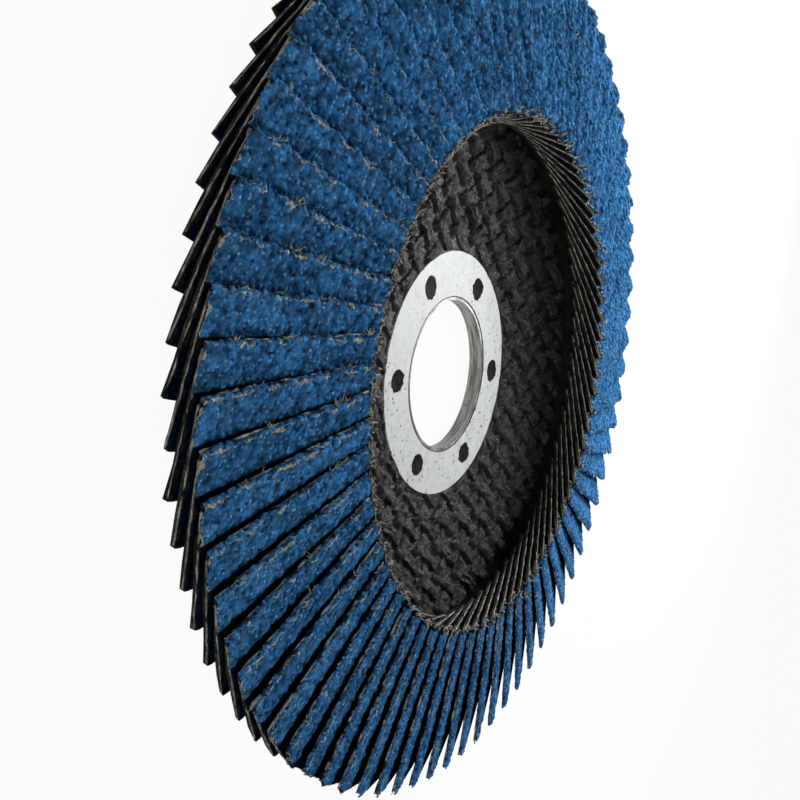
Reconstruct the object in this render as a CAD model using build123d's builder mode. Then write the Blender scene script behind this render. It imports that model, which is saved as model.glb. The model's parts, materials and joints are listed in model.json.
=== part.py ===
from build123d import *
import os
from math import asin, cos, radians, sin, sqrt, tan

# A flap disc for an angle grinder, lying on the back of its hub with the flaps up.
# The origin is on the bore axis, in the hub's back face. +Z points to the abrasive side.
# All lengths are in millimetres and all angles in degrees.

# The whole disc
disc_diameter = 125.0
recess_radius = 35.8         # from the axis to the middle of a flap's inner edge
cone_angle = 8.7             # how steeply the ring of flaps falls towards the rim

# The hub: a flanged collar from behind and a washer in front, with the plate between
bore_diameter = 22.23
hub_diameter = 36.3          # of the washer, and of the collar's flange behind it
hub_thickness = 2.5          # from the collar's back to the washer's front
collar_sheet = 0.45
collar_bend_bevel = 0.45     # outside of the bend between flange and tube
collar_setback = 0.06        # how far the tube's end stays below the washer's front
washer_sheet = 0.5
hub_fit = 0.035              # between the tube and the pieces it passes through

# The resin anchors that fill the washer's holes
anchor_count = 6
anchor_diameter = 3.2
anchor_circle_inset = 0.125  # from the middle of the washer's ring in to the anchors' circle
anchor_start_angle = 36.7
anchor_setback = 0.08        # how far the resin stays below the washer's front

# The backing plate, moulded from glass mesh and resin
plate_diameter = 108.0
plate_sheet = 2.0
washer_stand = 0.3           # how proud of the plate the washer stands
dish_margin = 2.3            # flat ring left round the washer before the plate rises
dish_rise = 2.8              # from the flat middle to the ridge
dish_foot_bend = 9.0
ridge_offset = 0.7           # the ridge lies this far outside the flaps' inner edges
ridge_bend = 3.0

# The adhesive bed under the flaps
bed_inner_offset = 0.5       # from the ridge out to the bed
bed_rim_margin = 1.0         # from the bed out to the plate's edge
bed_under_flaps = 1.6        # from the plate to a flap's lowest edge

# The flaps: flat strips of abrasive cloth, each lying on the next
flap_count = 72
flaps_per_node = 2
flap_length = 17.5           # round the disc, from the glued end to the free end
flap_thickness = 0.85
flap_clearance = 0.04        # between neighbours where they come closest
first_flap_angle = 2.8

# Sizes that follow from those above
disc_radius = disc_diameter / 2
bore_radius = bore_diameter / 2
tube_radius = bore_radius + collar_sheet
hole_radius = tube_radius + hub_fit
hub_radius = hub_diameter / 2
anchor_circle_radius = (hole_radius + hub_radius) / 2 - anchor_circle_inset
washer_back = hub_thickness - washer_sheet
plate_front = hub_thickness - washer_stand
plate_back = plate_front - plate_sheet
plate_radius = plate_diameter / 2
foot_radius = hub_radius + dish_margin
ridge_radius = recess_radius + ridge_offset
ridge_height = plate_front + dish_rise
bed_inner_radius = ridge_radius + bed_inner_offset
bed_outer_radius = plate_radius - bed_rim_margin
cone = radians(cone_angle)

# Flaps lie on one another, so their thickness and spacing set how far they lean.
# The cone brings their low ends closer together, which the second term makes up for.
flap_step = 360 / flap_count
lapped_reach = flap_length / 2 - recess_radius * radians(flap_step)
lean_rise = (flap_thickness + flap_clearance) / radians(flap_step) + lapped_reach * sin(cone)
flap_lean = asin(lean_rise / recess_radius)

# The top corner of each free end is what reaches the disc's full radius.
half_rise = flap_length / 2 * sin(flap_lean) + flap_thickness / 2 * cos(flap_lean)
half_reach = flap_length / 2 * cos(flap_lean) - flap_thickness / 2 * sin(flap_lean)
flap_outer_radius = sqrt(disc_radius**2 - half_reach**2) - half_rise * sin(cone)
flap_width = (flap_outer_radius - recess_radius) / cos(cone)
flap_middle_radius = (flap_outer_radius + recess_radius) / 2


def flange_height(radius):
    """Height of the plate's front where it falls away under the flaps."""
    return ridge_height - (radius - ridge_radius) * tan(cone)


def flap_plane(index):
    """The plane through the middle of one flap: x runs to the rim, y to the glued end."""
    middle_height = flange_height(flap_middle_radius) + (bed_under_flaps + half_rise) / cos(cone)
    middle = Vector(flap_middle_radius, 0, middle_height)
    to_rim = Vector(cos(cone), 0, -sin(cone))
    face = Vector(cos(flap_lean) * sin(cone), sin(flap_lean), cos(flap_lean) * cos(cone))
    turn = first_flap_angle + index * flap_step
    return Plane(
        origin=middle.rotate(Axis.Z, turn),
        x_dir=to_rim.rotate(Axis.Z, turn),
        z_dir=face.rotate(Axis.Z, turn),
    )


def corner(section, radius, height):
    """The corner of a section that is nearest to a radius and a height."""
    return section.vertices().sort_by_distance((radius, height))[0]


def write_piece(builder, name):
    """Label one finished piece and write it as its own STEP file."""
    builder.part.label = name
    export_step(builder.part, f"parts/{name}.step")


os.makedirs("parts", exist_ok=True)
flap_planes = [flap_plane(index) for index in range(flap_count)]

# Hub collar: a tube that makes the bore, with a flange rolled out behind the plate.
with BuildPart() as hub_collar:
    with BuildSketch(Plane.XZ) as collar_section:
        with BuildLine():
            Polyline(
                (bore_radius, 0),
                (hub_radius, 0),
                (hub_radius, collar_sheet),
                (tube_radius, collar_sheet),
                (tube_radius, hub_thickness - collar_setback),
                (bore_radius, hub_thickness - collar_setback),
                close=True,
            )
        make_face()
        chamfer(corner(collar_section, bore_radius, 0), length=collar_bend_bevel)
    revolve(axis=Axis.Z)
write_piece(hub_collar, "hub_collar")

# Hub washer: the bright ring in front, with holes that the plate's resin fills.
with BuildPart() as hub_washer:
    with BuildSketch(Plane.XY.offset(washer_back)):
        Circle(hub_radius)
        Circle(hole_radius, mode=Mode.SUBTRACT)
        with PolarLocations(anchor_circle_radius, anchor_count, anchor_start_angle):
            Circle(anchor_diameter / 2, mode=Mode.SUBTRACT)
    extrude(amount=washer_sheet)
write_piece(hub_washer, "hub_washer")

# Backing plate: stepped to seat the hub's two steel pieces, dished up to a ridge, then
# a flange that falls to the rim under the flaps. Resin anchors rise into the washer.
with BuildPart() as backing_plate:
    with BuildSketch(Plane.XZ) as plate_section:
        with BuildLine():
            Polyline(
                (hole_radius, collar_sheet),
                (hub_radius, collar_sheet),
                (hub_radius, plate_back),
                (foot_radius, plate_back),
                (ridge_radius, ridge_height - plate_sheet),
                (plate_radius, flange_height(plate_radius) - plate_sheet),
                (plate_radius, flange_height(plate_radius)),
                (ridge_radius, ridge_height),
                (foot_radius, plate_front),
                (hub_radius, plate_front),
                (hub_radius, washer_back),
                (hole_radius, washer_back),
                close=True,
            )
        make_face()
        fillet(corner(plate_section, foot_radius, plate_back), radius=dish_foot_bend)
        fillet(corner(plate_section, foot_radius, plate_front), radius=dish_foot_bend)
        fillet(corner(plate_section, ridge_radius, ridge_height - plate_sheet), radius=ridge_bend)
        fillet(corner(plate_section, ridge_radius, ridge_height), radius=ridge_bend)
    revolve(axis=Axis.Z)
    with BuildSketch(Plane.XY.offset(washer_back)):
        with PolarLocations(anchor_circle_radius, anchor_count, anchor_start_angle):
            Circle(anchor_diameter / 2)
    extrude(amount=washer_sheet - anchor_setback)
write_piece(backing_plate, "backing_plate")

# Adhesive bed: a ring on the flange that fills the room under the flaps. It starts as
# deep as the flaps' middles, and all that lies above a flap's underside is then cut off.
with BuildPart() as adhesive_bed:
    with BuildSketch(Plane.XZ):
        bed_depth = (bed_under_flaps + half_rise) / cos(cone)
        with BuildLine():
            Polyline(
                (bed_inner_radius, flange_height(bed_inner_radius)),
                (bed_outer_radius, flange_height(bed_outer_radius)),
                (bed_outer_radius, flange_height(bed_outer_radius) + bed_depth),
                (bed_inner_radius, flange_height(bed_inner_radius) + bed_depth),
                close=True,
            )
        make_face()
    revolve(axis=Axis.Z)
    with BuildSketch(*[plane.offset(-flap_thickness / 2) for plane in flap_planes]):
        Rectangle(flap_width, flap_length)
    extrude(amount=2 * half_rise, mode=Mode.SUBTRACT)
write_piece(adhesive_bed, "adhesive_bed")

# Flaps: each file holds neighbours as separate solids.
for first in range(0, flap_count, flaps_per_node):
    with BuildPart() as flap_pair:
        with BuildSketch(*flap_planes[first : first + flaps_per_node]):
            Rectangle(flap_width, flap_length)
        extrude(amount=flap_thickness / 2, both=True)
    write_piece(flap_pair, f"flap_pair_{first // flaps_per_node + 1:02d}")
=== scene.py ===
import json
import math
import random

import bmesh
import bpy
from mathutils import Matrix, Vector, noise
from mathutils.bvhtree import BVHTree

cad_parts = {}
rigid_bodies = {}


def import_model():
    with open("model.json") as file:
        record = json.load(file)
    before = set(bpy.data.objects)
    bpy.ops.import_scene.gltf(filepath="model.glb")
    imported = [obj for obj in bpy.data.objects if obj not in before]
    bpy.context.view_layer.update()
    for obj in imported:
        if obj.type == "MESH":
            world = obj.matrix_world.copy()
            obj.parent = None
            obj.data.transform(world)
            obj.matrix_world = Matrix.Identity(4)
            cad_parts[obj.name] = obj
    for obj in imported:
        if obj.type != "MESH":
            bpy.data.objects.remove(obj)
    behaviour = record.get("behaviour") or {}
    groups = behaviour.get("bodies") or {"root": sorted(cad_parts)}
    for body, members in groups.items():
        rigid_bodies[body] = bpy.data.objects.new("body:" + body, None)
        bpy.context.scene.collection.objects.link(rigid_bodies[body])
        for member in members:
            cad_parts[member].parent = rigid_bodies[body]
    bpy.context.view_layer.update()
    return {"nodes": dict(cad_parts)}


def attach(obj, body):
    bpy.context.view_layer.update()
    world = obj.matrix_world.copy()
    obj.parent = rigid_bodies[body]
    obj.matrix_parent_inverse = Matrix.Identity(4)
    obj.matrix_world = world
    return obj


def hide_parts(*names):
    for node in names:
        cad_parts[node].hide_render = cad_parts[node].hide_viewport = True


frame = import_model()
mm = 0.001
print("frame loaded")


def feed(tree, socket, value):
    # a number or a colour is set, and another node's output is linked
    if isinstance(value, (int, float)):
        socket.default_value = value
    elif isinstance(value, tuple):
        socket.default_value = (*value, 1.0)
    elif value is not None:
        tree.links.new(value, socket)


def addNode(tree, kind, **values):
    # a value goes to the input of that name, or else to the node's own setting
    made = tree.nodes.new(kind)
    for name, value in values.items():
        if name in made.inputs.keys():
            made.inputs[name].default_value = value
        else:
            setattr(made, name, value)
    return made


def addMath(tree, operation, first, second=None, clamp=False):
    made = addNode(tree, "ShaderNodeMath", operation=operation, use_clamp=clamp)
    feed(tree, made.inputs[0], first)
    feed(tree, made.inputs[1], second)
    return made.outputs[0]


def addProduct(tree, first, second, clamp=False):
    return addMath(tree, "MULTIPLY", first, second, clamp)


def addRange(tree, value, fromMin, fromMax, toMin=0.0, toMax=1.0):
    made = addNode(tree, "ShaderNodeMapRange", **{"From Min": fromMin, "From Max": fromMax,
                                                  "To Min": toMin, "To Max": toMax})
    feed(tree, made.inputs["Value"], value)
    return made.outputs["Result"]


def addMix(tree, factor, first, second):
    made = addNode(tree, "ShaderNodeMix", data_type="RGBA")
    feed(tree, made.inputs[0], factor)
    feed(tree, made.inputs[6], first)      # 6 and 7 are the colour sockets, A and B
    feed(tree, made.inputs[7], second)
    return made.outputs[2]


def addScaled(tree, colour, level):
    made = addNode(tree, "ShaderNodeVectorMath", operation="SCALE")
    feed(tree, made.inputs[0], colour)
    feed(tree, made.inputs["Scale"], level)
    return made.outputs[0]


def addNoise(tree, vector, scale, detail=2.0, roughness=0.5):
    made = addNode(tree, "ShaderNodeTexNoise", Detail=detail, Roughness=roughness)
    feed(tree, made.inputs["Vector"], vector)
    feed(tree, made.inputs["Scale"], scale)
    return made.outputs["Fac"]


def addLines(tree, vector):
    # thin wandering lines, at zero where a noise passes through its middle level
    level = addNoise(tree, vector, 1.0, 3.0, 0.6)
    return addMath(tree, "ABSOLUTE", addMath(tree, "SUBTRACT", level, 0.5))


def addCells(tree, vector, scale):
    # the distance from the middle of the nearest cell, and three values that each cell draws
    made = addNode(tree, "ShaderNodeTexVoronoi")
    feed(tree, made.inputs["Vector"], vector)
    feed(tree, made.inputs["Scale"], scale)
    drawn = addNode(tree, "ShaderNodeSeparateColor")
    feed(tree, drawn.inputs["Color"], made.outputs["Color"])
    return made.outputs["Distance"], drawn.outputs


def addBump(tree, height, strength, distance, normal=None):
    made = addNode(tree, "ShaderNodeBump", Strength=strength, Distance=distance)
    feed(tree, made.inputs["Height"], height)
    feed(tree, made.inputs["Normal"], normal)
    return made.outputs["Normal"]


def addAttribute(tree, name, output="Fac"):
    return addNode(tree, "ShaderNodeAttribute", attribute_name=name).outputs[output]


def addPlace(tree, name):
    # the X, Y and Z of a place that the mesh carries, in millimetres
    made = addNode(tree, "ShaderNodeSeparateXYZ")
    feed(tree, made.inputs[0], addAttribute(tree, name, "Vector"))
    return made.outputs


def addRun(tree, place, along, across):
    # a pattern that follows a strand, with its own scale along it and across it
    made = addNode(tree, "ShaderNodeCombineXYZ")
    feed(tree, made.inputs[0], addProduct(tree, place["X"], along))
    feed(tree, made.inputs[1], addProduct(tree, place["Y"], across))
    feed(tree, made.inputs[2], place["Z"])
    return made.outputs[0]


def addStretch(tree, vector, scale, turn=0.0):
    # stretches a pattern, and turns it by so many degrees about Z
    made = addNode(tree, "ShaderNodeMapping", Rotation=(0.0, 0.0, math.radians(turn)), Scale=scale)
    feed(tree, made.inputs["Vector"], vector)
    return made.outputs[0]


def objectCoords(tree):
    return addNode(tree, "ShaderNodeTexCoord").outputs["Object"]


def newMaterial(name, **shaderValues):
    material = bpy.data.materials.new(name)
    material.use_nodes = True
    shader = material.node_tree.nodes["Principled BSDF"]
    for socket, value in shaderValues.items():
        shader.inputs[socket.replace("_", " ")].default_value = value
    return material, material.node_tree, shader


def newGroup(name, inputs, outputs):
    group = bpy.data.node_groups.new(name, "ShaderNodeTree")
    for socket, value in inputs.items():
        made = group.interface.new_socket(socket, in_out="INPUT", socket_type="NodeSocketFloat")
        made.default_value = value
    for socket in outputs:
        group.interface.new_socket(socket, in_out="OUTPUT", socket_type="NodeSocketFloat")
    return group, group.nodes.new("NodeGroupInput"), group.nodes.new("NodeGroupOutput")


def addGroup(tree, group, **values):
    made = addNode(tree, "ShaderNodeGroup", node_tree=group)
    for name, value in values.items():
        made.inputs[name.replace("_", " ")].default_value = value
    return made


def wire(tree, shader, colour, normal, roughness=None):
    feed(tree, shader.inputs["Base Color"], colour)
    feed(tree, shader.inputs["Roughness"], roughness)
    feed(tree, shader.inputs["Normal"], normal)


def makeSpeckle():
    # soft blotches with hard little specks in them
    group, start, end = newGroup("speckle", {"Scale": 1000.0, "Speck Scale": 2500.0, "Specks": 0.2},
                                 ("Blotch", "Speck", "Height"))
    coords = objectCoords(group)
    distance, drawn = addCells(group, coords, start.outputs["Speck Scale"])
    isSpeck = addMath(group, "LESS_THAN", drawn["Red"], start.outputs["Specks"])
    middle = addRange(group, distance, 0.25, 0.5, 1.0, 0.0)
    feed(group, end.inputs["Blotch"], addNoise(group, coords, start.outputs["Scale"], 3.0, 0.55))
    feed(group, end.inputs["Speck"], addProduct(group, isSpeck, middle))
    feed(group, end.inputs["Height"], addMath(group, "SUBTRACT", 1.0, distance))
    return group


def makeDust():
    # thin pale dust that gathers in patches
    group, start, end = newGroup("dust", {"Scale": 300.0, "Amount": 0.3}, ("Mask",))
    coords = objectCoords(group)
    patch = addNoise(group, coords, start.outputs["Scale"], 4.0, 0.65)
    fine = addNoise(group, coords, 4000.0, 1.0)
    both = addProduct(group, addRange(group, patch, 0.5, 0.75), addRange(group, fine, 0.4, 0.65))
    feed(group, end.inputs["Mask"], addProduct(group, both, start.outputs["Amount"], True))
    return group


speckleGroup = makeSpeckle()
dustGroup = makeDust()


def addGrain(tree, finish):
    return addGroup(tree, speckleGroup, Scale=finish["grains"], Speck_Scale=finish["specks"],
                    Specks=finish["speckShare"]).outputs


def addDust(tree, colour, finish):
    dust = addGroup(tree, dustGroup, Scale=finish["dustPatches"], Amount=finish["dusty"])
    return addMix(tree, dust.outputs["Mask"], colour, finish["dust"])


print("shared effects ready")


view = {
    "place": (0.0, -140.65, 76.795),   # mm
    "aim": (22.417, -4.307, 0.0),      # mm
    "roll": 102.184,                   # degrees about the line of sight
    "lens": 47.102, "sensor": 36.0,    # mm
    "shiftUp": 0.15,                   # share of the picture's width
    "nearest": 1.0,                    # mm, where the view starts
}


def setCamera():
    data = bpy.data.cameras.new("camera")
    data.lens = view["lens"]
    data.sensor_width = view["sensor"]
    data.shift_y = view["shiftUp"]
    data.clip_start = view["nearest"] * mm
    camera = bpy.data.objects.new("camera", data)
    place, aim = Vector(view["place"]) * mm, Vector(view["aim"]) * mm
    look = (aim - place).to_track_quat("-Z", "Y").to_matrix().to_4x4()
    roll = Matrix.Rotation(math.radians(view["roll"]), 4, "Z")
    camera.matrix_world = Matrix.Translation(place) @ look @ roll
    bpy.context.scene.collection.objects.link(camera)
    bpy.context.scene.camera = camera


lightSetup = {
    # where each lamp comes from, with its distance and size in metres
    "keyLamp": {"from": (-0.1, 0.17, 0.098), "distance": 0.22, "size": 0.16, "watts": 0.84},
    "fillLamp": {"from": (0.6, -0.7, 0.46), "distance": 0.8, "size": 0.5, "watts": 2.4},
    "ambient": 0.12,     # the world's light on plain surfaces
    "glossy": 0.5,       # the world as shiny surfaces show it
}


def addLamp(name):
    setup = lightSetup[name]
    data = bpy.data.lights.new(name, "AREA")
    data.shape = "DISK"
    data.size = setup["size"]
    data.energy = setup["watts"]
    lamp = bpy.data.objects.new(name, data)
    toLamp = Vector(setup["from"]).normalized()
    turn = toLamp.to_track_quat("Z", "Y").to_matrix().to_4x4()
    lamp.matrix_world = Matrix.Translation(toLamp * setup["distance"]) @ turn
    bpy.context.scene.collection.objects.link(lamp)


def setWorld():
    # white to the camera and through clear things, dimmer as light
    world = bpy.data.worlds.new("studio")
    bpy.context.scene.world = world
    world.use_nodes = True
    tree = world.node_tree
    background = tree.nodes["Background"]
    path = addNode(tree, "ShaderNodeLightPath").outputs
    seen = addMath(tree, "MAXIMUM", path["Is Camera Ray"], path["Is Transmission Ray"])
    shiny = addRange(tree, path["Is Glossy Ray"], 0.0, 1.0, lightSetup["ambient"], lightSetup["glossy"])
    feed(tree, background.inputs["Color"], (1.0, 1.0, 1.0))
    feed(tree, background.inputs["Strength"], addMath(tree, "MAXIMUM", seen, shiny))


def toMesh(name, shape):
    mesh = bpy.data.meshes.new(name)
    shape.to_mesh(mesh)
    shape.free()
    return mesh


floorSetup = {
    "reach": 3.0,        # m each way
    "drop": 0.02,        # mm that it lies under the hub's back
    "tone": (0.9, 0.9, 0.9), "roughness": 0.9,
    "glow": 0.95,        # share of plain white that the camera sees, so that a shadow still shows
}


def makeFloor():
    shape = bmesh.new()
    bmesh.ops.create_grid(shape, x_segments=1, y_segments=1, size=floorSetup["reach"])
    bmesh.ops.translate(shape, vec=(0, 0, -floorSetup["drop"] * mm), verts=shape.verts)
    mesh = toMesh("floor", shape)
    floor = bpy.data.objects.new("floor", mesh)
    bpy.context.scene.collection.objects.link(floor)
    material, tree, shader = newMaterial("paleFloor", Roughness=floorSetup["roughness"],
                                         Specular_IOR_Level=0.0)
    feed(tree, shader.inputs["Base Color"], floorSetup["tone"])
    path = addNode(tree, "ShaderNodeLightPath").outputs
    seen = addMath(tree, "MAXIMUM", path["Is Camera Ray"], path["Is Glossy Ray"])
    glow = addNode(tree, "ShaderNodeEmission", Color=(1, 1, 1, 1), Strength=1.0)
    both = addNode(tree, "ShaderNodeMixShader")
    feed(tree, both.inputs[0], addProduct(tree, seen, floorSetup["glow"]))
    feed(tree, both.inputs[1], shader.outputs[0])
    feed(tree, both.inputs[2], glow.outputs[0])
    feed(tree, tree.nodes["Material Output"].inputs["Surface"], both.outputs[0])
    mesh.materials.append(material)


setCamera()
addLamp("keyLamp")
addLamp("fillLamp")
setWorld()
makeFloor()
bpy.context.scene.view_settings.view_transform = "Standard"
print("camera, floor and lights ready")


def smoothStep(low, high, value):
    share = min(max((value - low) / (high - low), 0.0), 1.0)
    return share * share * (3 - 2 * share)


def waver(*place):
    return noise.noise(Vector(place))


def sway(run, seed, waves):
    # soft waves along a run; lane and spread keep one wave, and one seed, apart from another
    return sum(height * waver(run * turns, lane, seed * spread) for height, turns, lane, spread in waves)


def splitAlong(shape, axis, cuts, keep):
    # cuts the edges that run along one axis, where keep says so
    edges = []
    for edge in shape.edges:
        run = edge.verts[1].co - edge.verts[0].co
        if abs(run[axis]) > 0.9 * run.length and keep(edge.verts[0].co, edge.verts[1].co):
            edges.append(edge)
    bmesh.ops.subdivide_edges(shape, edges=edges, cuts=cuts, use_grid_fill=True)


def toMetres(shape):
    # smooth faces that point outwards, in metres
    for face in shape.faces:
        face.smooth = True
    bmesh.ops.scale(shape, vec=(mm, mm, mm), verts=shape.verts)
    bmesh.ops.recalc_face_normals(shape, faces=shape.faces)


def addCopy(shape, mesh):
    # adds a mesh to a shape, and gives the vertices that came with it
    before = len(shape.verts)
    shape.from_mesh(mesh)
    shape.verts.ensure_lookup_table()
    return shape.verts[before:]


def finishPiece(name, shape, materials, slot, *nodes):
    mesh = toMesh(name, shape)
    for material in materials:
        mesh.materials.append(material)
    piece = bpy.data.objects.new(name, mesh)
    bpy.context.scene.collection.objects.link(piece)
    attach(piece, "root")
    if nodes:
        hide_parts(*nodes)


# millimetres and degrees; a flap's x runs from bore to rim, and its y from free end to glued end
flapShape = {
    "count": 72, "perNode": 2, "firstAngle": 2.8,
    "discRadius": 62.5, "recessRadius": 35.8,
    "length": 17.5, "thickness": 0.85,
    "clearance": 0.04,                       # between neighbours
    "cone": 8.7,                             # how steeply the fan falls towards the rim
    "ridgeRadius": 36.5, "ridgeHeight": 5.0, "aboveSlope": 1.6,   # from the plate's slope to the flaps
    "columns": 104,                          # cells from bore to rim
    "rows": 23, "hiddenRows": 4,             # on the part that shows, and under the next flap
    "underRows": 3,                          # cuts across the underside
    "wallHeights": (0.12, -0.25),            # of the two cuts along the free edge's wall
    "wrapsTo": -0.3,                         # how low the grit wraps over the free edge
    "shownPast": 0.45,                       # the fine rows reach so far under the next flap
    # by turn: how frayed the free edges are there, which also widens the painted shade they throw on the
    # flap under them, how far they stand off, how worn the grit is
    "moods": ((0, 0.85, 0.05, 0.4), (45, 0.75, 0.05, 0.3), (90, 0.3, 0.03, 0.15), (135, 0.06, 0.02, 0.0),
              (180, 0.04, 0.02, 0.0), (225, 0.12, 0.03, 0.06), (262, 0.6, 0.06, 1.0), (290, 0.9, 0.08, 1.0),
              (330, 1.0, 0.08, 0.7), (360, 0.85, 0.05, 0.4)),
}
halfLength, halfThick = flapShape["length"] / 2, flapShape["thickness"] / 2
cone, step = math.radians(flapShape["cone"]), math.radians(360 / flapShape["count"])
# flaps lie on one another, so their thickness and spacing set how far they lean
lappedReach = halfLength - flapShape["recessRadius"] * step
leanRise = (flapShape["thickness"] + flapShape["clearance"]) / step + lappedReach * math.sin(cone)
lean = math.asin(leanRise / flapShape["recessRadius"])
# the top corner of each free end is what reaches the disc's full radius
halfRise = halfLength * math.sin(lean) + halfThick * math.cos(lean)
halfReach = halfLength * math.cos(lean) - halfThick * math.sin(lean)
outerRadius = math.sqrt(flapShape["discRadius"] ** 2 - halfReach ** 2) - halfRise * math.sin(cone)
middleRadius = (outerRadius + flapShape["recessRadius"]) / 2
slopeHeight = flapShape["ridgeHeight"] - (middleRadius - flapShape["ridgeRadius"]) * math.tan(cone)
middleHeight = slopeHeight + (flapShape["aboveSlope"] + halfRise) / math.cos(cone)
flapWidth = (outerRadius - flapShape["recessRadius"]) / math.cos(cone)
halfWidth = flapWidth / 2
hair = 0.01   # mm, for telling which face of a flap a point is on


def flapMatrix(index):
    turn = math.radians(flapShape["firstAngle"]) + index * step
    return (Matrix.Rotation(turn, 4, "Z") @ Matrix.Translation((middleRadius, 0, middleHeight))
            @ Matrix.Rotation(cone, 4, "Y") @ Matrix.Rotation(-lean, 4, "X"))


# where the next flap's free edge lies on this one, at the bore end and at the rim end
toNext = flapMatrix(0).inverted() @ flapMatrix(1)
nextInner = (toNext @ Vector((-halfWidth, -halfLength, -halfThick))).y
nextOuter = (toNext @ Vector((halfWidth, -halfLength, -halfThick))).y
shownInner, shownOuter = round(nextInner + halfLength, 2), round(nextOuter + halfLength, 2)
print("a flap shows", shownInner, "mm at the bore and", shownOuter, "mm at the rim")


def coveredFrom(x):
    return nextInner + (nextOuter - nextInner) * (x + halfWidth) / flapWidth


def moodOf(index):
    turn = (flapShape["firstAngle"] + index * 360 / flapShape["count"]) % 360
    for low, high in zip(flapShape["moods"], flapShape["moods"][1:]):
        if turn <= high[0]:
            share = (turn - low[0]) / (high[0] - low[0])
            return [a + (b - a) * share for a, b in zip(low[1:], high[1:])]


gritFinish = {
    "deep": (0.01, 0.03, 0.07), "blue": (0.066, 0.285, 0.65),
    "speck": (0.003, 0.01, 0.022), "worn": (0.5, 0.51, 0.42), "dust": (0.26, 0.42, 0.5),
    "roughness": 0.7,
    # how many of each there are to a metre
    "grains": 800.0, "fineGrains": 3600.0, "specks": 1500.0, "glitter": 1900.0,
    # the last of these sets how finely the edge of the painted shade under the next flap wavers
    "patches": 130.0, "dustPatches": 240.0, "frays": 480.0, "shadeWobbles": 900.0,
    "speckShare": 0.16, "dusty": 0.2,
    # painted glints and sparkle: cells that draw more than a limit are painted lighter, less so towards the
    # end of their reach
    "glint": {"drawn": "Red", "above": 0.74, "reach": (0.1, 0.5), "strength": 0.8,
              "tone": (0.17, 0.46, 0.85)},
    "spark": {"drawn": "Green", "above": 0.965, "reach": (0.08, 0.32), "strength": 0.5,
              "tone": (0.6, 0.8, 0.95)},
    "wearReach": 0.6,      # mm in from an edge
    "sideWear": 0.6,       # least wear along the two sides
    # painted shade: under and beside the next flap's free edge the colour is darkened to this share
    "inShade": 0.04,       # share of the colour that is left under the next flap
}


def addWornEdges(tree, coords, fine, colour):
    # the edges are worn through to the cloth in places
    place, pale = addPlace(tree, "flapPlace"), addAttribute(tree, "pale")
    frays = addNoise(tree, coords, gritFinish["frays"], 3.0, 0.65)
    ragged = addRange(tree, frays, 0.45, 0.7, 0.0, gritFinish["wearReach"])
    atFree = addMath(tree, "LESS_THAN", place["Y"], addProduct(tree, ragged, pale))
    fromSide = addMath(tree, "MINIMUM", place["X"], addMath(tree, "SUBTRACT", flapWidth, place["X"]))
    sidePale = addMath(tree, "MAXIMUM", pale, gritFinish["sideWear"])
    atSide = addMath(tree, "LESS_THAN", fromSide, addProduct(tree, ragged, sidePale))
    onTop = addMath(tree, "GREATER_THAN", place["Z"], halfThick - hair)
    worn = addProduct(tree, addMath(tree, "MAXIMUM", atFree, atSide), onTop)
    wornDark = tuple(part * 0.3 for part in gritFinish["worn"])
    frayed = addMix(tree, addRange(tree, fine, 0.35, 0.6), wornDark, gritFinish["worn"])
    return addMix(tree, worn, colour, frayed)


def makeBlueGrit():
    finish = gritFinish
    material, tree, shader = newMaterial("blueGrit", Roughness=finish["roughness"], Specular_IOR_Level=0.0)
    coords = objectCoords(tree)
    grain = addGrain(tree, finish)
    fine = addNoise(tree, coords, finish["fineGrains"], 2.0, 0.6)
    # raised grit is bluer than the resin between, and blotches lie over both
    raised = addProduct(tree, addAttribute(tree, "grit"), 0.55)
    blotch = addProduct(tree, addRange(tree, grain["Blotch"], 0.36, 0.64), 0.45)
    body = addMath(tree, "ADD", raised, blotch)
    body = addProduct(tree, body, addRange(tree, fine, 0.3, 0.7, 0.55, 1.45), True)
    colour = addMix(tree, body, finish["deep"], finish["blue"])
    patches = addRange(tree, addNoise(tree, coords, finish["patches"]), 0.35, 0.65, 0.86, 1.12)
    colour = addScaled(tree, colour, addProduct(tree, patches, addAttribute(tree, "flapTone")))
    colour = addMix(tree, addProduct(tree, grain["Speck"], 0.8), colour, finish["speck"])
    # painted glints and sparkle, put into the colour
    distance, drawn = addCells(tree, coords, finish["glitter"])
    for glitter in (finish["glint"], finish["spark"]):
        picked = addMath(tree, "GREATER_THAN", drawn[glitter["drawn"]], glitter["above"])
        middle = addRange(tree, distance, *glitter["reach"], glitter["strength"], 0.0)
        colour = addMix(tree, addProduct(tree, picked, middle), colour, glitter["tone"])
    colour = addWornEdges(tree, coords, fine, addDust(tree, colour, finish))
    # painted shade where the next flap lies on this one, with a wavering edge
    wobble = addRange(tree, addNoise(tree, coords, finish["shadeWobbles"], 3.0, 0.6), 0.3, 0.7, -0.35, 0.35)
    shown = addMath(tree, "ADD", addAttribute(tree, "shown"), wobble)
    light = addRange(tree, shown, 0.05, 1.0, finish["inShade"], 1.0)
    normal = addBump(tree, grain["Height"], 0.7, 0.2 * mm, addBump(tree, fine, 0.5, 0.12 * mm))
    wire(tree, shader, addScaled(tree, colour, light), normal)
    return material


clothFinish = {
    # the cut grit's near-black tone is partly its own colour and partly painted shade
    "grit": (0.006, 0.009, 0.014), "resin": (0.007, 0.007, 0.006),
    "cloth": (0.36, 0.345, 0.28), "thread": (0.82, 0.81, 0.7),
    "fibres": 3400.0, "breaks": 700.0, "threadBreaks": 800.0, "waves": 1400.0,   # to a metre
    "clothTo": 0.02, "gritFrom": 0.12,     # mm above the flap's middle
    "waveHeight": 0.12,                    # mm, of the line between them
    "threadRun": (0.9, 2.2),               # fibres along a strand and round it
}


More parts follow.
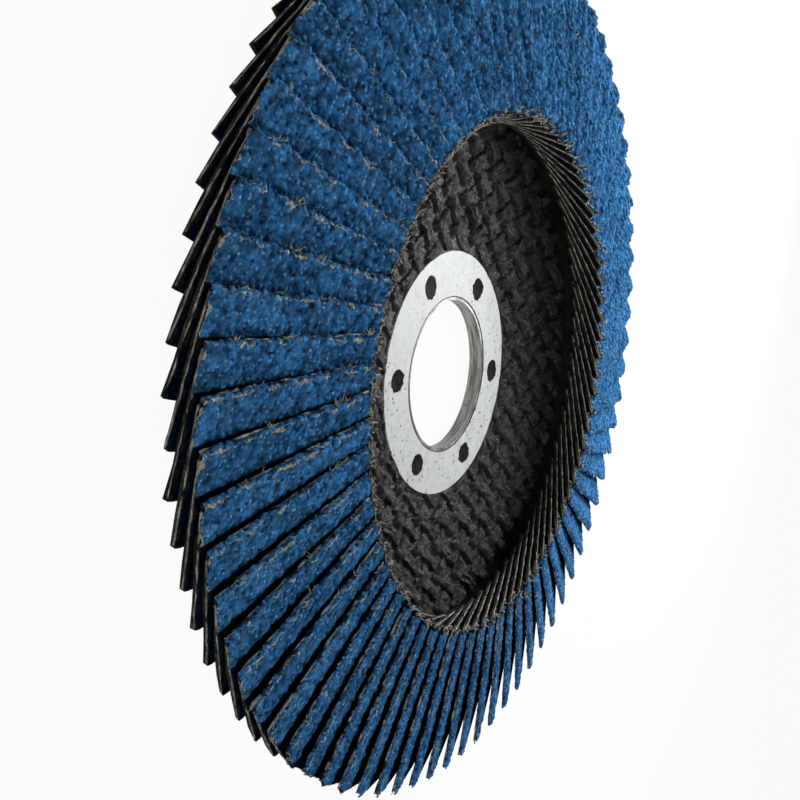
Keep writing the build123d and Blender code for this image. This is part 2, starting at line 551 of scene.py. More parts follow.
def makeCutCloth():
    # the cut through a flap: dark grit above, its near-black tone partly painted shade, cloth stiffened
    # with resin below
    finish = clothFinish
    material, tree, shader = newMaterial("cutCloth", Roughness=0.9, Specular_IOR_Level=0.1)
    coords = objectCoords(tree)
    high = finish["waveHeight"]
    wave = addRange(tree, addNoise(tree, coords, finish["waves"]), 0.3, 0.7, -high, high)
    height = addMath(tree, "ADD", addPlace(tree, "flapPlace")["Z"], wave)
    isCloth = addRange(tree, height, finish["gritFrom"], finish["clothTo"])
    fibres = addNoise(tree, coords, finish["fibres"], 4.0, 0.75)
    broken = addRange(tree, addNoise(tree, coords, finish["breaks"]), 0.35, 0.62)
    level = addProduct(tree, addRange(tree, fibres, 0.38, 0.68), broken)
    level = addProduct(tree, level, addAttribute(tree, "pale"), True)
    cloth = addMix(tree, level, finish["resin"], finish["cloth"])
    colour = addMix(tree, isCloth, finish["grit"], cloth)
    wire(tree, shader, colour, addBump(tree, fibres, 1.0, 0.3 * mm))
    return material


def makeThread():
    # fibres run along each strand; flapPlace holds millimetres along it and the turn round it
    finish = clothFinish
    material, tree, shader = newMaterial("frayedThread", Roughness=0.85, Specular_IOR_Level=0.15)
    run = addRun(tree, addPlace(tree, "flapPlace"), *finish["threadRun"])
    fibres = addNoise(tree, run, 1.6, 4.0, 0.7)
    broken = addNoise(tree, objectCoords(tree), finish["threadBreaks"], 3.0, 0.6)
    broken = addRange(tree, broken, 0.35, 0.6, 0.55, 1.15)
    level = addProduct(tree, addRange(tree, fibres, 0.4, 0.62, 0.12, 1.5), broken)
    level = addProduct(tree, level, addAttribute(tree, "pale"), True)
    colour = addMix(tree, level, finish["resin"], finish["thread"])
    wire(tree, shader, colour, addBump(tree, fibres, 1.0, 0.3 * mm))
    return material


flapFinishes = (makeBlueGrit(), makeCutCloth(), makeThread())
print("flap finishes ready")


def makeFlapBlank():
    blank = bmesh.new()
    bmesh.ops.create_cube(blank, size=1.0)
    bmesh.ops.scale(blank, vec=(2 * halfWidth, 2 * halfLength, 2 * halfThick), verts=blank.verts)
    topRows, underRows = flapShape["rows"] + flapShape["hiddenRows"], flapShape["underRows"]
    splitAlong(blank, 0, flapShape["columns"] - 1, lambda a, b: True)
    splitAlong(blank, 1, topRows - 1, lambda a, b: a.z > 0 and b.z > 0)
    splitAlong(blank, 1, underRows, lambda a, b: a.z < 0 and b.z < 0)
    splitAlong(blank, 2, len(flapShape["wallHeights"]), lambda a, b: a.y < 0 and b.y < 0)
    # the fine rows gather on the part that shows
    for vert in blank.verts:
        if abs(vert.co.z) < halfThick - hair:
            vert.co.z = flapShape["wallHeights"][0 if vert.co.z > 0 else 1]
        share = (vert.co.y + halfLength) / (2 * halfLength)
        fine = flapShape["rows"] / topRows if vert.co.z > 0 else 1 / (underRows + 1)
        shown = coveredFrom(vert.co.x) + flapShape["shownPast"] + halfLength
        if share <= fine:
            vert.co.y = -halfLength + shown * share / fine
        else:
            vert.co.y = -halfLength + shown + (2 * halfLength - shown) * (share - fine) / (1 - fine)
    # the grit wraps over most of the free edge
    for face in blank.faces:
        wrapped = face.normal.y < -0.5 and face.calc_center_median().z > flapShape["wrapsTo"]
        face.material_index = 0 if face.normal.z > 0.5 or wrapped else 1
        face.smooth = False
    return toMesh("flapBlank", blank)


def makeStrand(name, sides, cuts):
    # a straight strand along X, one long and one in radius
    strand = bmesh.new()
    bmesh.ops.create_cone(strand, cap_ends=True, segments=sides, radius1=1.0, radius2=1.0, depth=1.0)
    upright = Matrix.Rotation(math.radians(90), 3, "Y")
    bmesh.ops.rotate(strand, verts=strand.verts, cent=(0, 0, 0), matrix=upright)
    splitAlong(strand, 0, cuts, lambda a, b: True)
    for face in strand.faces:
        face.material_index = 2
        face.smooth = True
    return toMesh(name, strand)


flapBlank = makeFlapBlank()
cordStrand = makeStrand("cordStrand", 7, 44)
longStrand = makeStrand("longStrand", 5, 39)
thinStrand = makeStrand("thinStrand", 3, 35)
shortStrand = makeStrand("shortStrand", 3, 3)

flapWear = {
    "grit": 0.3, "gritSize": 0.78,         # mm, height and spacing of the grit
    "gritFill": 0.72, "gritSunk": 0.4,     # share of its cell and of its height
    "ragged": 0.3,                         # mm, of the cut edges
    "freeRagged": 0.8, "sideRagged": 0.6,  # mm in from an edge that this reaches
    "freeSlope": 0.14, "sideSlope": 0.12,  # mm that the grit is worn down at the edges
    "wall": 0.08, "wallLumps": 0.5,        # mm that the grit stands out on the free edge
    "tip": (0.45, 0.3),                    # mm worn off the free corners, across and along
    # the painted shade that a free edge throws on the flap under it reaches so far, and further where the
    # edge is frayed
    "shade": 0.1, "frayedShade": 0.2,      # mm over which a free edge darkens what it lies on
    "rimPale": 0.5, "borePale": 0.4, "underPale": 0.05,
}


def paleness(x, y, z, seed, fray, worn):
    # how much pale cloth shows at a place on the flap's cut faces
    patch = 0.6 + 0.9 * waver(x * 0.5, y * 0.5, seed * 1.7)
    if y < hair - halfLength:
        return fray * patch
    if x > halfWidth - hair:
        return flapWear["rimPale"] * patch
    if x < hair - halfWidth:
        return flapWear["borePale"] * patch
    return worn if z > 0 else flapWear["underPale"]


def gritAt(there):
    # domes of many heights, with a finer unevenness over them
    far, points = noise.voronoi(there / flapWear["gritSize"])
    stone = 0.5 + 0.5 * noise.cell(points[0] * 3.7)
    dome = max(1 - (far[0] / flapWear["gritFill"]) ** 2, 0.0)
    return dome * (0.45 + 0.55 * stone) + 0.28 * noise.noise(there * 2.6)


def freeWander(x, z, seed):
    # long, middling and short waves of a torn free edge
    long, middling = waver(x * 0.9, 0.5, seed * 3.3), waver(x * 1.9, z * 1.2, seed * 3.3)
    return 0.8 * long + middling + 1.1 * waver(x * 3.4, z * 2, seed)


def sideWander(y, z, side, seed):
    return 0.9 * waver(y * 0.8, side, seed * 2.1) + 0.9 * waver(y * 2.4, z * 1.5, seed * 2.1)


def shapeFlap(verts, seed, fray, worn, liftAt, layers):
    # grit on top, ragged edges, and a free end that stands off a little
    wear = flapWear
    shade = wear["shade"] + wear["frayedShade"] * fray
    for vert in verts:
        x, y, z = vert.co
        edge, free = coveredFrom(x), y + halfLength
        vert[layers["flapPlace"]] = Vector((x + halfWidth, free, z))
        vert[layers["pale"]] = paleness(x, y, z, seed, fray, worn)
        # how far a point lies out of the painted shade that the next flap's free edge throws on it
        vert[layers["shown"]] = (edge - y) / shade
        rise = liftAt(x) * max(1 - free / (edge + halfLength), 0.0) ** 1.5
        nearFree = 1 - smoothStep(0.0, wear["freeRagged"], free)
        nearSide = 1 - smoothStep(0.0, wear["sideRagged"], halfWidth - abs(x))
        if z > halfThick - hair:
            gritty = gritAt(Vector((x, y, seed * 7.3)))
            vert[layers["grit"]] = gritty
            show = 1 - smoothStep(edge - 0.25, edge + 0.25, y)
            z += show * wear["grit"] * (gritty - wear["gritSunk"])
            z -= wear["sideSlope"] * nearSide + wear["freeSlope"] * (1 - smoothStep(0.0, 0.5, free))
        elif free < hair and z > flapShape["wrapsTo"]:
            gritty = 0.5 + 0.9 * waver(x * 1.6, z * 2.2, seed * 4.4)
            vert[layers["grit"]] = gritty
            y -= wear["wall"] + (wear["wallLumps"] - 0.3 * worn) * gritty
        # the cut edges wander, and the two free corners are worn round
        side, corner = math.copysign(1.0, x), nearFree * nearSide
        outwards = nearSide * wear["ragged"] * sideWander(y, z, side, seed) - corner * wear["tip"][0]
        inwards = nearFree * wear["ragged"] * freeWander(x, z, seed) + corner * wear["tip"][1]
        vert.co = Vector((x + side * outwards, y + inwards, z + rise))


def addStrand(shape, template, lay, radius, pale, layers, seed):
    # lay gives a point, a direction and a swelling for each share of the strand's length
    length = (lay(1.0)[0] - lay(0.0)[0]).length
    for vert in addCopy(shape, template):
        share = vert.co.x + 0.5
        centre, along, swell = lay(share)
        across = along.cross(Vector((0, 0, 1))).normalized()
        up = across.cross(along).normalized()
        vert[layers["pale"]] = pale(share)
        vert[layers["flapPlace"]] = Vector((share * length, vert.co.y, vert.co.z + seed * 3.1))
        vert.co = centre + (across * vert.co.y + up * vert.co.z) * radius * swell


# Yarns of the cloth along a flap's cut edges, in millimetres. Each lies so far out from its edge
# and up from the flap's middle. The second numbers of out and swell are added where the flap is
# frayed, and that of pale at the strand's first end, from where it fades.
flapTrims = {
    "freeYarn": {
        "strand": longStrand, "radius": 0.13, "inset": 0.45, "seed": 0,
        "out": (0.02, 0.16), "outWaves": ((0.14, 0.33, 9.0, 4.7), (0.08, 1.7, 2.0, 1.0)),
        "up": -0.3, "upWaves": ((0.1, 0.5, 4.0, 1.9),),
        "swell": (0.35, 0.75), "swellWaves": ((1.1, 0.8, 6.0, 2.9),), "start": 1.0,
        "pale": (0.4, 0.0), "fade": 1.0, "paleWaves": ((3.4, 15.0, 3.0, 6.1),),
    },
    "rimYarn": {
        "strand": longStrand, "radius": 0.15, "inset": 0.4, "seed": 20,
        "out": (0.02, 0.0), "outWaves": ((0.12, 0.6, 3.0, 2.2), (0.06, 2.2, 1.0, 1.0)),
        "up": 0.12, "upWaves": ((0.08, 0.7, 5.0, 1.3),),
        "swell": (0.85, 0.0), "swellWaves": ((0.6, 0.9, 2.0, 3.1),), "start": 1.0,
        "pale": (0.6, 0.0), "fade": 1.0, "paleWaves": ((1.1, 9.0, 1.0, 1.0),),
    },
    "boreCord": {
        "strand": cordStrand, "radius": 0.34, "inset": 0.1, "seed": 40,
        "out": (0.0, 0.0), "outWaves": ((0.1, 0.5, 8.0, 2.6), (0.05, 2.4, 3.0, 1.0)),
        "up": -0.04, "upWaves": ((0.06, 0.6, 2.0, 1.1),),
        "swell": (0.95, 0.0), "swellWaves": ((0.22, 1.2, 6.0, 3.4), (0.2, 3.4, 1.0, 1.3)),
        "start": 0.45,
        "pale": (0.03, 0.6), "fade": 7.0, "paleWaves": ((0.1, 8.0, -1.0, 1.0),),
    },
    # a pale thread along the top of each cord: a thread of the cloth, and also a painted highlight line
    # along the cord's edge
    "boreHighlightThread": {
        "strand": thinStrand, "radius": 0.11, "inset": 0.4, "seed": 60,
        "out": (0.255, 0.0), "outWaves": ((0.1, 0.5, 8.0, 2.6),),
        "up": 0.2, "upWaves": ((0.1, 0.8, 7.0, 1.6),),
        "swell": (0.7, 0.0), "swellWaves": ((0.9, 1.4, 4.0, 2.3),), "start": 1.0,
        "pale": (1.4, 1.6), "fade": 1.0, "paleWaves": ((3.4, 14.0, 5.0, 1.0),),
    },
}
thinnest, fillOut = 0.15, 6.0   # least swelling, and how fast a strand fills out from its start


def trimFlap(shape, seed, fray, liftAt, layers):
    for name, trim in flapTrims.items():
        isFree, side = name == "freeYarn", 1 if name == "rimYarn" else -1
        reach = (halfWidth if isFree else halfLength) - trim["inset"]

        def lay(share):
            run = (share - 0.5) * 2 * reach
            out = trim["out"][0] + trim["out"][1] * fray + sway(run, seed, trim["outWaves"])
            up = trim["up"] + sway(run, seed, trim["upWaves"])
            swell = trim["swell"][0] + trim["swell"][1] * fray + sway(run, seed, trim["swellWaves"])
            swell = max(swell, thinnest) * min(1.0, trim["start"] + share * fillOut)
            if isFree:
                return Vector((run, -halfLength - out, up + liftAt(run))), Vector((1, 0, 0)), swell
            lifted = max(1 - (run + halfLength) / (coveredFrom(side * halfWidth) + halfLength), 0.0) ** 1.5
            up += lifted * liftAt(side * halfWidth)
            return Vector((side * (halfWidth + out), run, up)), Vector((0, 1, 0)), swell

        def pale(share):
            bare = trim["pale"][0] + trim["pale"][1] * max(1 - share * trim["fade"], 0.0)
            return (bare + sway(share, seed, trim["paleWaves"])) * (fray if isFree else 1)

        addStrand(shape, trim["strand"], lay, trim["radius"], pale, layers, seed + trim["seed"])


# loose fibres, in millimetres; each pair of numbers is a range that a fibre draws from
fringe = {
    "fibres": 14,                            # round the recess, every other one pale
    "fromBore": (-0.3, 0.4), "fromFree": (-0.1, 3.4), "height": 0.3,
    "heading": ((0.5, -0.6), (0.6, -0.7), (0.2, 0.8)),
    "span": (0.25, 0.8), "radius": (0.1, 0.18), "pale": (2.5, 6.0), "dark": 0.12,
}
tufts = {
    "whenFrayed": 3.2, "more": (0.0, 1.2),   # how many there are along a free edge
    "fibres": 6, "middle": (-0.97, 0.97), "spread": (-0.7, 0.7), "out": 0.15, "height": -0.2,
    "heading": ((-1.0, 1.0), (0.0, -0.7), (-0.1, 0.4)),
    "span": (0.3, 0.9), "radius": (0.08, 0.14), "pale": (1.0, 2.4),
}
curlRange, taper = (-0.35, 0.35), 0.6
liftReach = 3.0   # mm from the free edge, where a flap stands off too little to lift a fibre


def drawFringe(draw):
    for fibre in range(fringe["fibres"]):
        start = Vector((-halfWidth + draw.uniform(*fringe["fromBore"]),
                        -halfLength + draw.uniform(*fringe["fromFree"]), fringe["height"]))
        heading = Vector([draw.uniform(*reach) for reach in fringe["heading"]])
        span, radius = draw.uniform(*fringe["span"]), draw.uniform(*fringe["radius"])
        yield start, heading, span, radius, draw.uniform(*fringe["pale"]) if fibre % 2 else fringe["dark"]


def drawTufts(draw, fray):
    for tuft in range(int(fray * tufts["whenFrayed"] + draw.uniform(*tufts["more"]))):
        middle = draw.uniform(*tufts["middle"]) * halfWidth
        for fibre in range(tufts["fibres"]):
            x = max(min(middle + draw.uniform(*tufts["spread"]), halfWidth), -halfWidth)
            start = Vector((x, -halfLength - tufts["out"], tufts["height"]))
            heading = Vector([draw.uniform(*reach) for reach in tufts["heading"]])
            span, radius = draw.uniform(*tufts["span"]), draw.uniform(*tufts["radius"])
            yield start, heading, span, radius, draw.uniform(*tufts["pale"])


def frayFlap(shape, seed, draw, fray, liftAt, layers):
    fibres = [*drawFringe(draw), *drawTufts(draw, fray)]
    for start, heading, span, radius, pale in fibres:
        heading.normalize()
        curl = draw.uniform(*curlRange)
        start.z += liftAt(start.x) * max(1 - (start.y + halfLength) / liftReach, 0.0)

        def lay(share):
            bend = Vector((0, -abs(curl), curl)) * span * share * share
            return start + heading * span * share + bend, heading, 1.0 - taper * share

        addStrand(shape, shortStrand, lay, radius, lambda share: pale, layers, seed)


def makeFlapPair(number):
    shape = bmesh.new()
    layers = {"flapPlace": shape.verts.layers.float_vector.new("flapPlace")}
    for name in ("flapTone", "pale", "grit", "shown"):
        layers[name] = shape.verts.layers.float.new(name)
    for index in range(number * flapShape["perNode"], (number + 1) * flapShape["perNode"]):
        draw, seed = random.Random(900 + index), index + 1
        fray, lift, worn = moodOf(index)
        fray *= draw.uniform(0.75, 1.15)
        lift *= draw.uniform(0.6, 1.2)
        tone = draw.uniform(0.9, 1.1)
        before = len(shape.verts)
        verts = addCopy(shape, flapBlank)
        for vert in verts:
            vert[layers["flapTone"]] = tone

        def liftAt(x):
            return lift * (0.7 + 0.8 * waver(x * 0.16, 3.0, seed * 5.1))

        shapeFlap(verts, seed, fray, worn, liftAt, layers)
        trimFlap(shape, seed, fray, liftAt, layers)
        frayFlap(shape, seed, draw, fray, liftAt, layers)
        place = Matrix.Scale(mm, 4) @ flapMatrix(index)
        bmesh.ops.transform(shape, matrix=place, verts=shape.verts[before:])
    finishPiece(f"flapPair{number + 1:02d}", shape, flapFinishes, "abrasive_cloth",
                f"flap_pair_{number + 1:02d}")


for number in range(flapShape["count"] // flapShape["perNode"]):
    makeFlapPair(number)
print("flaps laid")


# the mesh of glass yarns in the plate's two faces, in millimetres
weave = {
    "pitch": 3.7, "ribbon": 2.05,        # between yarns, and across one
    "headings": (52.0, 128.0),           # degrees, one for each family of yarns
    "over": 0.58, "under": 0.08,         # how high a yarn lies where it crosses another
    "proud": 0.06, "sink": 0.14,         # its middle stands up, and its edges sink into the plate
    "below": 0.08,                       # its underside lies so far under its edges
    "lump": 0.27, "bundle": 0.1,         # unevenness of the resin and of the filaments
    "wander": 0.35, "frill": 0.22, "swelling": 0.3,
    "rimMargin": 0.3, "shortest": 1.5,
    "lowest": 0.03,                      # keeps the back clear of the floor
    # the ring that is covered, the cells across a yarn and how long they are, and how the relief
    # grows from its first share by its second, between two radii
    "front": {"inner": 18.25, "outer": 36.9, "columns": 9, "cell": 0.36,
              "relief": (0.7, 0.5), "from": (18.5, 22.0)},
    "back": {"inner": 18.25, "outer": 53.4, "columns": 6, "cell": 0.75,
             "relief": (0.3, 0.6), "from": (20.0, 26.0)},
}

yarnFinish = {
    "shadow": (0.0005, 0.0005, 0.0005), "resin": (0.066, 0.066, 0.061),
    "filamentRun": (0.22, 3.2), "gashRun": (0.6, 2.5),   # scales along a yarn and across it
    "gash": (0.014, 0.032),                              # where a gash ends
    "patches": 420.0, "lumps": 1500.0,                   # to a metre
}


def makeGlassYarn():
    # resin-soaked glass yarn: fine filaments run along it, resin lies over it in lumps
    finish = yarnFinish
    material, tree, shader = newMaterial("glassYarn", Specular_IOR_Level=0.16)
    coords, place = objectCoords(tree), addPlace(tree, "yarnPlace")
    filaments = addNoise(tree, addRun(tree, place, *finish["filamentRun"]), 1.5, 4.0, 0.65)
    patch = addNoise(tree, coords, finish["patches"], 3.0, 0.6)
    crease = addRange(tree, addLines(tree, addRun(tree, place, *finish["gashRun"])), *finish["gash"])
    level = addProduct(tree, addRange(tree, filaments, 0.35, 0.6, 0.3, 1.0),
                       addRange(tree, patch, 0.32, 0.58, 0.35, 1.0))
    level = addProduct(tree, level, crease, True)
    colour = addMix(tree, level, finish["shadow"], finish["resin"])
    # the yarns' low edges are darker
    height = addRange(tree, addAttribute(tree, "yarnTop"), 0.0, 0.5, 0.1, 1.0)
    normal = addBump(tree, addNoise(tree, coords, finish["lumps"], 3.0, 0.6), 0.5, 0.4 * mm)
    normal = addBump(tree, crease, 1.0, 0.8 * mm, normal)
    normal = addBump(tree, filaments, 1.0, 0.5 * mm, normal)
    wire(tree, shader, addScaled(tree, colour, height), normal, addRange(tree, patch, 0.3, 0.7, 0.26, 0.6))
    return material


def readPlate(fromBelow):
    # reads the plate's front or back at each tenth of a millimetre from the axis
    mesh = frame["nodes"]["backing_plate"].data
    corners = [vert.co.copy() for vert in mesh.vertices]
    tree = BVHTree.FromPolygons(corners, [list(face.vertices) for face in mesh.polygons])
    start, way = (-10, 1) if fromBelow else (30, -1)
    lastTenth, heights = 539, []
    for tenth in range(lastTenth + 2):
        hit = tree.ray_cast(Vector((0.01, -tenth * 0.1, start)) * mm, Vector((0, 0, way)))[0]
        heights.append(None if hit is None else hit.z / mm)

    def heightAt(radius):
        at = min(radius * 10, lastTenth)
        low = int(at)
        return heights[low] + (heights[low + 1] - heights[low]) * (at - low)

    return heightAt


def makeRibbon(cells, columns):
    # a flat strip along X, one long and one wide, finely divided on top
    ribbon = bmesh.new()
    bmesh.ops.create_cube(ribbon, size=1.0)
    splitAlong(ribbon, 0, cells - 1, lambda a, b: True)
    splitAlong(ribbon, 1, columns - 1, lambda a, b: a.z > 0 and b.z > 0)
    return toMesh("ribbon", ribbon)


def yarnEnds(offset, face):
    # a yarn's two ends by its distance from the axis; the washer cuts those near it in two
    def outer(y):
        return math.sqrt(max(face["outer"] ** 2 - y * y, 0.01))

    def inner(y):
        return math.sqrt(max(face["inner"] ** 2 - y * y, 0.0))

    if abs(offset) - weave["ribbon"] / 2 < face["inner"]:
        return [lambda y: (inner(y), outer(y)), lambda y: (-outer(y), -inner(y))]
    return [lambda y: (-outer(y), outer(y))]


def yarnsOf(face):
    # every yarn's family, its number in it, its part and its ends
    reach = int(face["outer"] / weave["pitch"])
    for family in range(len(weave["headings"])):
        for count in range(-reach, reach + 1):
            offset = count * weave["pitch"]
            if abs(offset) + weave["ribbon"] / 2 > face["outer"] - weave["rimMargin"]:
                continue
            for part, ends in enumerate(yarnEnds(offset, face)):
                low, high = ends(offset)
                if high - low >= weave["shortest"]:
                    yield family, count, part, ends


def yarnAside(x, v, seed):
    # how far a point lies from the yarn's straight line, where v is -1 and 1 at its edges
    wide = 1 + weave["swelling"] * waver(x * 0.3, seed, 5.0)
    wander = weave["wander"] * waver(x * 0.12, seed, 0.0)
    return v * weave["ribbon"] / 2 * wide + wander + weave["frill"] * v ** 3 * waver(x * 0.9, v, seed)


def yarnCrest(x, v, plan, beat, seed):
    # how high the yarn's top lies; beat is 1 where it crosses over another yarn, -1 where under
    crown = weave["under"] + (weave["over"] - weave["under"]) * smoothStep(0.3, 0.7, 0.5 + 0.5 * beat)
    bundle = waver(x * 0.08, v * 2.6, seed * 2.0) + waver(x * 0.2, v * 5.5, seed)
    lumps = waver(plan.x * 0.6, plan.y * 0.6, seed) + 0.7 * waver(plan.x * 1.5, plan.y * 1.5, seed)
    return crown + weave["proud"] + weave["bundle"] * bundle + weave["lump"] * lumps


def makeWeave(name, face, fromBelow):
    heightAt, way = readPlate(fromBelow), -1 if fromBelow else 1
    shape = bmesh.new()
    placeLayer = shape.verts.layers.float_vector.new("yarnPlace")
    topLayer = shape.verts.layers.float.new("yarnTop")
    turns = [math.radians(heading) for heading in weave["headings"]]
    alongs = [Vector((math.cos(turn), math.sin(turn))) for turn in turns]
    acrosses = [Vector((-math.sin(turn), math.cos(turn))) for turn in turns]
    for family, count, part, ends in yarnsOf(face):
        offset, seed = count * weave["pitch"], 31.0 * family + count * 1.7 + part
        low, high = ends(offset)
        ribbon = makeRibbon(max(int((high - low) / face["cell"]), 2), face["columns"])
        verts = addCopy(shape, ribbon)
        bpy.data.meshes.remove(ribbon)
        for vert in verts:
            v, isTop = vert.co.y * 2, vert.co.z > 0
            low, high = ends(offset + v * weave["ribbon"] / 2)
            x = low + (high - low) * (vert.co.x + 0.5)
            y = offset + yarnAside(x, v, seed)
            plan = alongs[family] * x + acrosses[family] * y
            crossing = plan.dot(acrosses[1 - family]) / weave["pitch"] + count
            beat = math.cos(math.pi * crossing) * (1 if family == 0 else -1)
            body = max(1 - v ** 6, 0.0) ** 0.5      # full in the middle, nothing at the edges
            up = -weave["sink"] - weave["below"]
            if isTop:
                up = yarnCrest(x, v, plan, beat, seed) * body - weave["sink"] * (1 - body)
            relief = face["relief"][0] + face["relief"][1] * smoothStep(*face["from"], plan.length)
            height = max(heightAt(plan.length) + way * relief * up, weave["lowest"])
            vert.co = Vector((plan.x, plan.y, height))
            vert[placeLayer] = Vector((x, y, seed))
            vert[topLayer] = body if isTop else 0.0
    toMetres(shape)
    finishPiece(name, shape, (glassYarn,), "mesh_plate")


glassYarn = makeGlassYarn()
makeWeave("plateMeshFront", weave["front"], False)
makeWeave("plateMeshBack", weave["back"], True)
print("glass mesh woven")


resinFinish = {
    "thin": (0.0025, 0.003, 0.002), "thick": (0.007, 0.007, 0.006), "dust": (0.07, 0.07, 0.07),
    "flow": 240.0, "dustPatches": 350.0,   # to a metre
    "blackAdhesive": {"specular": 0.15, "roughness": 0.35, "dusty": 0.08},
    "anchorResin": {"specular": 0.05, "roughness": 0.6, "dusty": 0.5},
}


def makeResin(name):
    finish = {**resinFinish, **resinFinish[name]}
    material, tree, shader = newMaterial(name, Specular_IOR_Level=finish["specular"])
    flow = addNoise(tree, objectCoords(tree), finish["flow"])
    colour = addMix(tree, addRange(tree, flow, 0.35, 0.65), finish["thin"], finish["thick"])
    roughness = addRange(tree, flow, 0.3, 0.7, finish["roughness"], finish["roughness"] + 0.2)
    wire(tree, shader, addDust(tree, colour, finish), addBump(tree, flow, 0.4, 0.6 * mm), roughness)
    return material


blackAdhesive = makeResin("blackAdhesive")
anchorResin = makeResin("anchorResin")

# resin in the washer's holes, in millimetres
anchors = {
    "count": 6, "circle": 14.75, "start": 36.7, "radius": 1.6,
    "front": 2.5,                # the washer's front
    "proud": 0.022, "sunk": 0.06,
    "deep": 0.2,                 # how far down it goes
    "lump": 0.035,
    # the uneven rim: its mean, and waves with a height, turns and a spread
    "rim": 1.02, "rimWaves": ((0.2, 1.3, 4.1), (0.2, 3.1, 2.3), (0.1, 7.7, 5.3)),
    "columns": 40, "rows": 16,
}


def makeAnchors():
    shape = bmesh.new()
    for number in range(anchors["count"]):
        turn = math.radians(anchors["start"] + number * 360 / anchors["count"])
        centre = Vector((math.cos(turn), math.sin(turn), 0)) * anchors["circle"]
        made = bmesh.ops.create_uvsphere(shape, u_segments=anchors["columns"], v_segments=anchors["rows"],
                                         radius=1.0)
        for vert in made["verts"]:
            flat = Vector((vert.co.x, vert.co.y, 0))
            bearing = flat.normalized()
            rim = anchors["rim"] + sum(height * waver(bearing.x * turns, bearing.y * turns, number * spread)
                                       for height, turns, spread in anchors["rimWaves"])
            plan = flat * anchors["radius"] * rim
            height = anchors["front"] - anchors["deep"]
            if vert.co.z > -0.05:
                bowl = anchors["sunk"] * (1 - smoothStep(0.5, 0.95, flat.length))
                lump = anchors["lump"] * waver(plan.x * 2.1, plan.y * 2.1, number * 7.0)
                height = anchors["front"] + anchors["proud"] - bowl + lump * (1 - flat.length)
            vert.co = centre + plan + Vector((0, 0, height))
    toMetres(shape)
    finishPiece("resinAnchors", shape, (anchorResin,), "mesh_plate")


# a dark bead in the seam between collar and washer, painted shade of the narrow gap there, in millimetres
seam = {"radius": 11.62, "bead": 0.1, "height": 2.44, "waver": 0.03, "sides": 8, "steps": 120}


def makeSeam():
    # a dark ring laid in the seam as painted shade of the gap
    shape = bmesh.new()
    bmesh.ops.create_circle(shape, segments=seam["sides"], radius=seam["bead"])
    upright = Matrix.Rotation(math.radians(90), 3, "X")
    bmesh.ops.rotate(shape, verts=shape.verts, cent=(0, 0, 0), matrix=upright)
    bmesh.ops.translate(shape, vec=(seam["radius"], 0, seam["height"]), verts=shape.verts)
    bmesh.ops.spin(shape, geom=shape.verts[:] + shape.edges[:], cent=(0, 0, 0), axis=(0, 0, 1),
                   dvec=(0, 0, 0), angle=math.tau, steps=seam["steps"], use_merge=True,
                   use_duplicate=False)
    for vert in shape.verts:
        vert.co.z += seam["waver"] * noise.noise(vert.co * 0.6)
    toMetres(shape)
    finishPiece("boreSeam", shape, (blackAdhesive,), "adhesive")


makeAnchors()
makeSeam()
print("resin anchors and seam in place")


plateFinish = {
    "shadow": (0.002, 0.002, 0.002), "resin": (0.009, 0.009, 0.0085), "dust": (0.1, 0.1, 0.09),
    "grains": 420.0, "specks": 1500.0, "dustPatches": 220.0, "lumps": 900.0,   # to a metre
    "speckShare": 0.05, "dusty": 0.2,
    "printTurn": 8.0, "printScale": (2400.0, 500.0, 500.0),   # degrees about Z
}


def makeMeshPlate():
    # the resin under the glass mesh, with the print of a second layer of yarns in it
    finish = plateFinish
    material, tree, shader = newMaterial("meshPlate", Specular_IOR_Level=0.15)
    coords, blotch = objectCoords(tree), addGrain(tree, finish)["Blotch"]
    colour = addMix(tree, addRange(tree, blotch, 0.35, 0.65), finish["shadow"], finish["resin"])
    stretched = addStretch(tree, coords, finish["printScale"], finish["printTurn"])
    filaments = addNoise(tree, stretched, 1.0, 3.0, 0.6)
    normal = addBump(tree, addNoise(tree, coords, finish["lumps"], 3.0), 0.6, 0.6 * mm)
    normal = addBump(tree, filaments, 0.7, 0.35 * mm, normal)
    roughness = addRange(tree, blotch, 0.3, 0.7, 0.28, 0.6)
    wire(tree, shader, addDust(tree, colour, finish), normal, roughness)
    return material


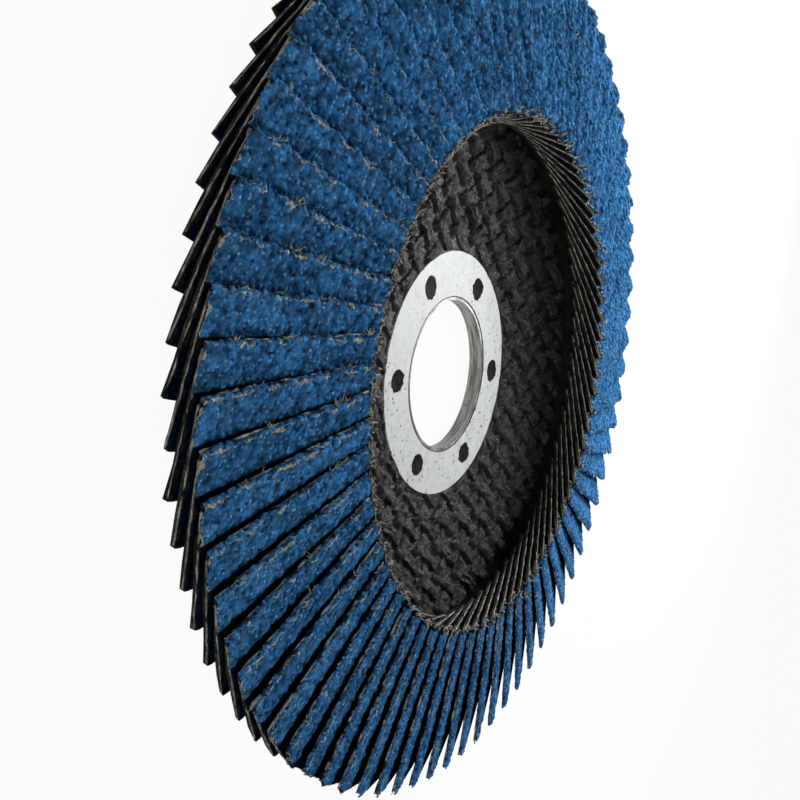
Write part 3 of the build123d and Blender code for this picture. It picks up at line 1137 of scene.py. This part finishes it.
steelFinish = {
    "satinSteel": {"tint": (0.66, 0.68, 0.68), "shade": (0.55, 0.57, 0.57), "roughness": 0.55,
                   "metallic": 0.12, "streaks": (800.0, 800.0, 800.0)},
    "collarSteel": {"tint": (0.36, 0.36, 0.34), "shade": (0.09, 0.09, 0.085), "roughness": 0.4,
                    "metallic": 0.9, "streaks": (230.0, 230.0, 3200.0)},
    "pit": (0.08, 0.08, 0.075), "scratch": (0.2, 0.2, 0.19), "tarnish": 0.6,
    "grains": 330.0, "specks": 1900.0, "pitPatches": 90.0,       # to a metre
    "speckShare": 0.12,
    "scratchTurn": 40.107, "scratchScale": (90.0, 620.0, 300.0),   # degrees about Z
    "scratchWidth": 0.009,
}


def makeSteel(name):
    finish = {**steelFinish, **steelFinish[name]}
    material, tree, shader = newMaterial(name, Metallic=finish["metallic"])
    coords, grain = objectCoords(tree), addGrain(tree, finish)
    streaks = addNoise(tree, addStretch(tree, coords, finish["streaks"]), 1.0, 4.0, 0.65)
    colour = addMix(tree, addRange(tree, streaks, 0.36, 0.6), finish["shade"], finish["tint"])
    tarnished = tuple(part * finish["tarnish"] for part in finish["tint"])
    colour = addMix(tree, addRange(tree, grain["Blotch"], 0.55, 0.8, 0.0, 0.35), colour, tarnished)
    pitted = addRange(tree, addNoise(tree, coords, finish["pitPatches"]), 0.38, 0.6, 0.0, 0.95)
    colour = addMix(tree, addProduct(tree, grain["Speck"], pitted), colour, finish["pit"])
    # long fine scratches
    lines = addLines(tree, addStretch(tree, coords, finish["scratchScale"], finish["scratchTurn"]))
    scratch = addProduct(tree, addRange(tree, lines, 0.0, finish["scratchWidth"], 0.7, 0.0),
                         addRange(tree, grain["Blotch"], 0.45, 0.6))
    colour = addMix(tree, scratch, colour, finish["scratch"])
    low, high = finish["roughness"] - 0.08, finish["roughness"] + 0.14
    roughness = addRange(tree, streaks, 0.3, 0.7, low, high)
    wire(tree, shader, colour, addBump(tree, streaks, 0.3, 0.12 * mm), roughness)
    return material


def dress(node, material):
    # the CAD's own piece stays, with a finish
    data = frame["nodes"][node].data
    data.materials.clear()
    data.materials.append(material)


dress("backing_plate", makeMeshPlate())
dress("adhesive_bed", blackAdhesive)
dress("hub_collar", makeSteel("collarSteel"))
dress("hub_washer", makeSteel("satinSteel"))
print("plate, bed and hub dressed")

total, most = 0, 0
for piece in bpy.context.scene.objects:
    if piece.type == "MESH" and piece.name != "floor" and not piece.hide_render:
        piece.data.calc_loop_triangles()
        total += len(piece.data.loop_triangles)
        most = max(most, len(piece.data.loop_triangles))
print("triangles shown", total, "and at most", most, "in one piece")
